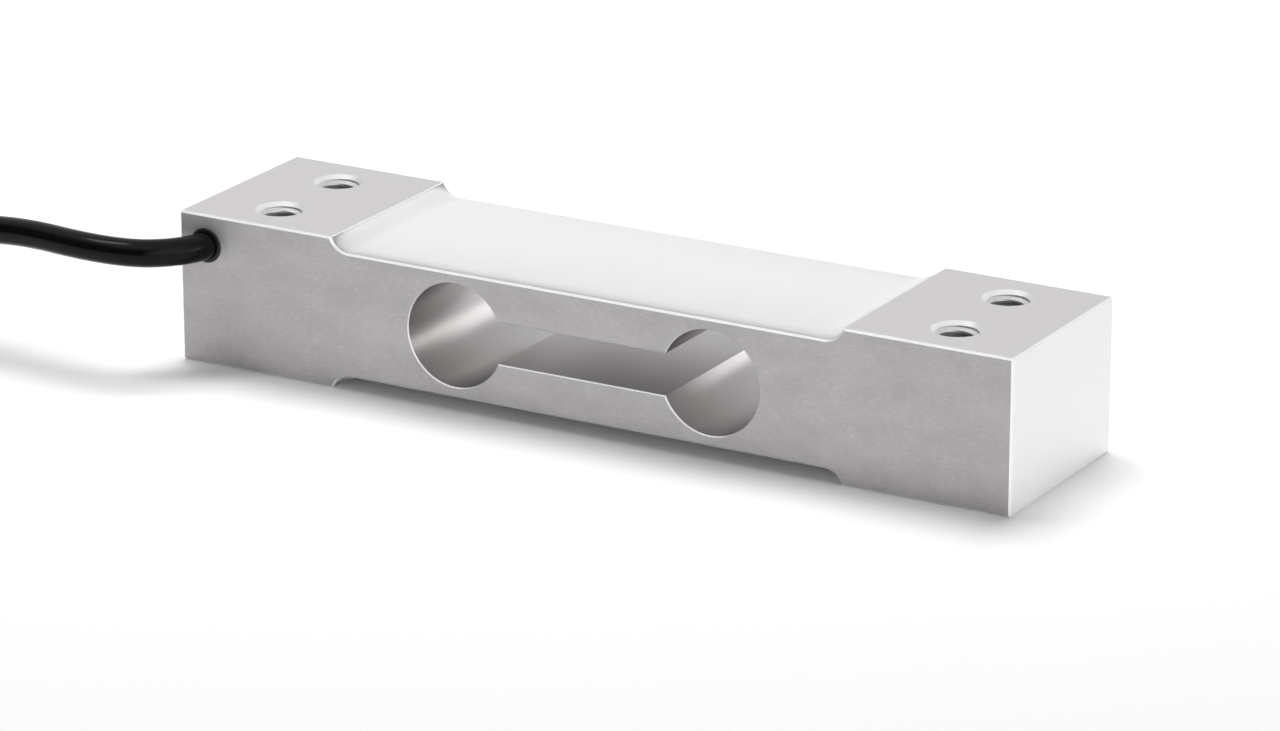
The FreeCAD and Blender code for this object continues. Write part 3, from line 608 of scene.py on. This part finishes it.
# %% Mix the silicone
def poured_silicone():
    material, tree, shader = new_finish("poured_silicone", 0.4)
    shader.inputs["Subsurface Weight"].default_value = 0.5
    shader.inputs["Subsurface Radius"].default_value = (1.0, 1.0, 1.0)
    shader.inputs["Subsurface Scale"].default_value = 1.5 * MM
    clouds = stretched_noise(tree, (14.0, 8.0, 8.0), 3.0)
    specks = stretched_noise(tree, (0.5, 0.5, 0.5), 2.0)
    tone = ramp(tree, clouds, (0.825, 0.825, 0.82), (0.842, 0.842, 0.838))
    tree.links.new(tone, shader.inputs["Base Color"])
    tree.links.new(spread(tree, clouds, 0.34, 0.46), shader.inputs["Roughness"])
    add_bump(tree, shader, specks, 0.004, 0.3)
    return material


silicone = poured_silicone()
print("silicone nodes:", len(silicone.node_tree.nodes))

# %% [markdown]
# ## The cable's jacket
# Extruded PVC is nearly black and glossy, so its shape is read from one long, faint highlight. Fine marks
# break that highlight a little.

# %% Mix the jacket
def glossy_jacket():
    material, tree, shader = new_finish("glossy_jacket", 0.25)
    marks = stretched_noise(tree, (1.2, 1.2, 1.2), 3.0)
    tone = ramp(tree, marks, (0.002, 0.002, 0.002), (0.005, 0.005, 0.005))
    tree.links.new(tone, shader.inputs["Base Color"])
    tree.links.new(spread(tree, marks, 0.11, 0.17), shader.inputs["Roughness"])
    shader.inputs["Specular IOR Level"].default_value = 0.15
    add_bump(tree, shader, marks, 0.01, 0.25)
    return material


jacket = glossy_jacket()
print("jacket nodes:", len(jacket.node_tree.nodes))

# %% [markdown]
# ## The small parts
# Film, foil, boards, wires and insulation are small, so one recipe serves them all: a base colour that
# varies a little with a fine grain, and a roughness that follows it. Each row gives a finish its values.

# %% A recipe for plain finishes
def grained(name, colour, roughness, metallic=0.0, grain_mm=0.6, variation=0.12, bump_mm=0.004):
    material, tree, shader = new_finish(name, roughness, metallic)
    grain = stretched_noise(tree, (grain_mm, grain_mm, grain_mm), 3.0)
    darker = [value * (1 - variation) for value in colour]
    lighter = [min(value * (1 + variation), 1.0) for value in colour]
    tree.links.new(ramp(tree, grain, darker, lighter), shader.inputs["Base Color"])
    tree.links.new(spread(tree, grain, roughness * 0.85, roughness * 1.15), shader.inputs["Roughness"])
    add_bump(tree, shader, grain, bump_mm, 0.4)
    return material


FINISHES = {
    "machined_aluminium": aluminium,
    "white_silicone": silicone,
    "cable_jacket": jacket,
    "black_bush": grained("black_bush", (0.003, 0.003, 0.003), 0.5, grain_mm=0.4),
    "clear_resin": grained("clear_resin", (0.55, 0.46, 0.3), 0.2),
    "black_nylon": grained("black_nylon", (0.012, 0.012, 0.012), 0.45, grain_mm=0.3),
    "shrink_sleeve": grained("shrink_sleeve", (0.012, 0.012, 0.013), 0.5, grain_mm=0.5, bump_mm=0.02),
    "green_board": grained("green_board", (0.02, 0.16, 0.06), 0.35, grain_mm=0.3),
    "tinned_pads": grained("tinned_pads", (0.72, 0.72, 0.7), 0.3, 1.0),
    "enamelled_copper": grained("enamelled_copper", (0.62, 0.25, 0.1), 0.3, 1.0),
    "chip_resistor": grained("chip_resistor", (0.02, 0.02, 0.025), 0.3),
    "tinned_copper": grained("tinned_copper", (0.68, 0.66, 0.62), 0.35, 1.0, grain_mm=0.25, variation=0.2),
    "polyimide_film": grained("polyimide_film", (0.6, 0.28, 0.05), 0.25),
    "gauge_foil": grained("gauge_foil", (0.6, 0.52, 0.42), 0.35, 1.0),
    "red_insulation": grained("red_insulation", (0.5, 0.02, 0.02), 0.35),
    "black_insulation": grained("black_insulation", (0.012, 0.012, 0.012), 0.35),
    "green_insulation": grained("green_insulation", (0.02, 0.27, 0.07), 0.35),
    "white_insulation": grained("white_insulation", (0.78, 0.78, 0.76), 0.35),
}
print("finishes:", len(FINISHES))

# %% Give every piece its finish
slots = {part["node"]: part["material_slot"] for part in frame["record"]["subparts"]}
for name, piece in nodes.items():
    piece.data.materials.clear()
    piece.data.materials.append(FINISHES[slots[name]])
added = (cable, threads, top_pour, bottom_pour)
for piece in added:
    piece.data.materials.append(FINISHES[piece["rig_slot"]])
print("pieces finished:", len(nodes) + len(added))

# %% [markdown]
# ## The table
# The cell lies on a plain white table. Under the lamps its paint is as bright as the picture's background,
# and it still takes the soft shadow under the beam. A faint glow, which only the camera and mirror images
# see, evens it out, and away from the lamps it grows for the camera, so that the table meets the room's
# white without a line.

# %% Lay the table
TABLE_GLOW = 0.05
FAR_GLOW = 0.95
FAR_FROM = 0.25
FAR_TO = 0.9

table_bm = bmesh.new()
bmesh.ops.create_grid(table_bm, x_segments=1, y_segments=1, size=4.0)
table_mesh = bpy.data.meshes.new("table")
table_bm.to_mesh(table_mesh)
table_bm.free()
table = bpy.data.objects.new("table", table_mesh)
bpy.context.scene.collection.objects.link(table)

# %% Paint the table
table_paint, table_tree, table_shader = new_finish("table_paint", 0.9)
table_shader.inputs["Base Color"].default_value = (0.98, 0.98, 0.98, 1.0)
table_shader.inputs["Specular IOR Level"].default_value = 0.1
table_shader.inputs["Emission Color"].default_value = (1.0, 1.0, 1.0, 1.0)
looked_at = add_node(table_tree, "ShaderNodeLightPath").outputs
direct = compute(table_tree, "MAXIMUM", looked_at["Is Camera Ray"], looked_at["Is Glossy Ray"])
direct = compute(table_tree, "MAXIMUM", direct, looked_at["Is Transmission Ray"])
glow = compute(table_tree, "MULTIPLY", direct, TABLE_GLOW)
far_off = add_node(table_tree, "ShaderNodeVectorMath", operation="LENGTH")
table_place = add_node(table_tree, "ShaderNodeTexCoord")
table_tree.links.new(table_place.outputs["Object"], far_off.inputs[0])
far_glow = spread(table_tree, far_off.outputs["Value"], 0.0, FAR_GLOW, FAR_FROM, FAR_TO)
glow = compute(table_tree, "MULTIPLY_ADD", far_glow, looked_at["Is Camera Ray"], glow)
table_tree.links.new(glow, table_shader.inputs["Emission Strength"])
table_mesh.materials.append(table_paint)
print("table painted")

# %% [markdown]
# ## The light
# A product like this is lit by a large softbox overhead, a little behind it, which leaves the near side in
# a soft half-tone with a short shadow in front. A small one at the upper left, in front of the beam, lights
# up the edges. The rest is what the metal mirrors: a room that is dark in front with a pale ceiling and a
# pale wall on the right, and behind it a grey sweep with a bright low panel, which gives the bores and the
# end face their light.

# %% Hang the lamps
def hang_lamp(name, place, width, height, radiance):
    lamp = bpy.data.lights.new(name, "AREA")
    lamp.shape = "RECTANGLE"
    lamp.size = width
    lamp.size_y = height
    lamp.energy = radiance * math.pi * width * height
    holder = bpy.data.objects.new(name, lamp)
    holder.location = place
    # every lamp looks at the middle of the beam
    holder.rotation_euler = (-Vector(place)).to_track_quat("-Z", "Y").to_euler()
    bpy.context.scene.collection.objects.link(holder)
    print(f"{name}: {lamp.energy:.1f} W")
    return holder


overhead = hang_lamp("overhead_softbox", (-0.12, 0.22, 0.87), width=0.55, height=0.5, radiance=9.0)
hang_lamp("front_softbox", (-0.40, -0.12, 0.78), width=0.22, height=0.22, radiance=5.0)
# the satin metal would throw this lamp straight back as a blank white patch, so only its light is used
overhead.visible_glossy = False

# %% Build the room that the metal mirrors
ROOM_AIR = 0.12
SWEEP = 0.66
PANEL = 1.55
PANEL_DROP = -1.8

world = bpy.data.worlds.new("studio")
bpy.context.scene.world = world
world.use_nodes = True
room = world.node_tree
room.nodes.clear()
outlook = add_node(room, "ShaderNodeTexCoord")
aside = add_node(room, "ShaderNodeSeparateXYZ")
room.links.new(outlook.outputs["Generated"], aside.inputs["Vector"])


def towards(axis, start, full, strength=1.0):
    """Grows from zero to its strength as the outlook turns along this axis."""
    return spread(room, aside.outputs[axis], 0.0, strength, start, full)


behind = towards("Y", -0.3, 0.2)
right = towards("X", 0.34, 0.50)
high = towards("Z", 0.33, 0.40)
panel = compute(room, "MULTIPLY_ADD", high, PANEL_DROP, PANEL)
sweep = compute(room, "MULTIPLY_ADD", right, panel, SWEEP)
ceiling = towards("Z", 0.6, 0.85)
wall = towards("X", 0.3, 0.6, 1.4)
in_front = compute(room, "SUBTRACT", 1.0, behind)
pale = compute(room, "MULTIPLY_ADD", compute(room, "MAXIMUM", ceiling, wall), in_front, ROOM_AIR)
mirrored = compute(room, "MULTIPLY_ADD", sweep, behind, pale)
print("room nodes so far:", len(room.nodes))

# %% [markdown]
# Only mirror images see that room. The scene is lit by its dim air, and the camera sees plain white.

# %% Keep the room out of the picture
rays = add_node(room, "ShaderNodeLightPath")
lit = add_node(room, "ShaderNodeMix", data_type="FLOAT")
lit.inputs["A"].default_value = ROOM_AIR
room.links.new(rays.outputs["Is Glossy Ray"], lit.inputs["Factor"])
room.links.new(mirrored, lit.inputs["B"])
seen = add_node(room, "ShaderNodeMix", data_type="FLOAT")
seen.inputs["B"].default_value = 1.0
plain_white = compute(room, "MAXIMUM", rays.outputs["Is Camera Ray"], rays.outputs["Is Transmission Ray"])
room.links.new(plain_white, seen.inputs["Factor"])
room.links.new(lit.outputs["Result"], seen.inputs["A"])
air = add_node(room, "ShaderNodeBackground")
air.inputs["Color"].default_value = (1.0, 1.0, 1.0, 1.0)
room.links.new(seen.outputs["Result"], air.inputs["Strength"])
surface = add_node(room, "ShaderNodeOutputWorld")
room.links.new(air.outputs["Background"], surface.inputs["Surface"])
print("room nodes:", len(room.nodes))

# %% Set how the picture is developed
bpy.context.scene.view_settings.view_transform = "Standard"
print("view transform:", bpy.context.scene.view_settings.view_transform)

# %% [markdown]
# ## The size
# The dressed object must stay inside the measured one.

# %% Bring the scene up to date
bpy.context.view_layer.update()
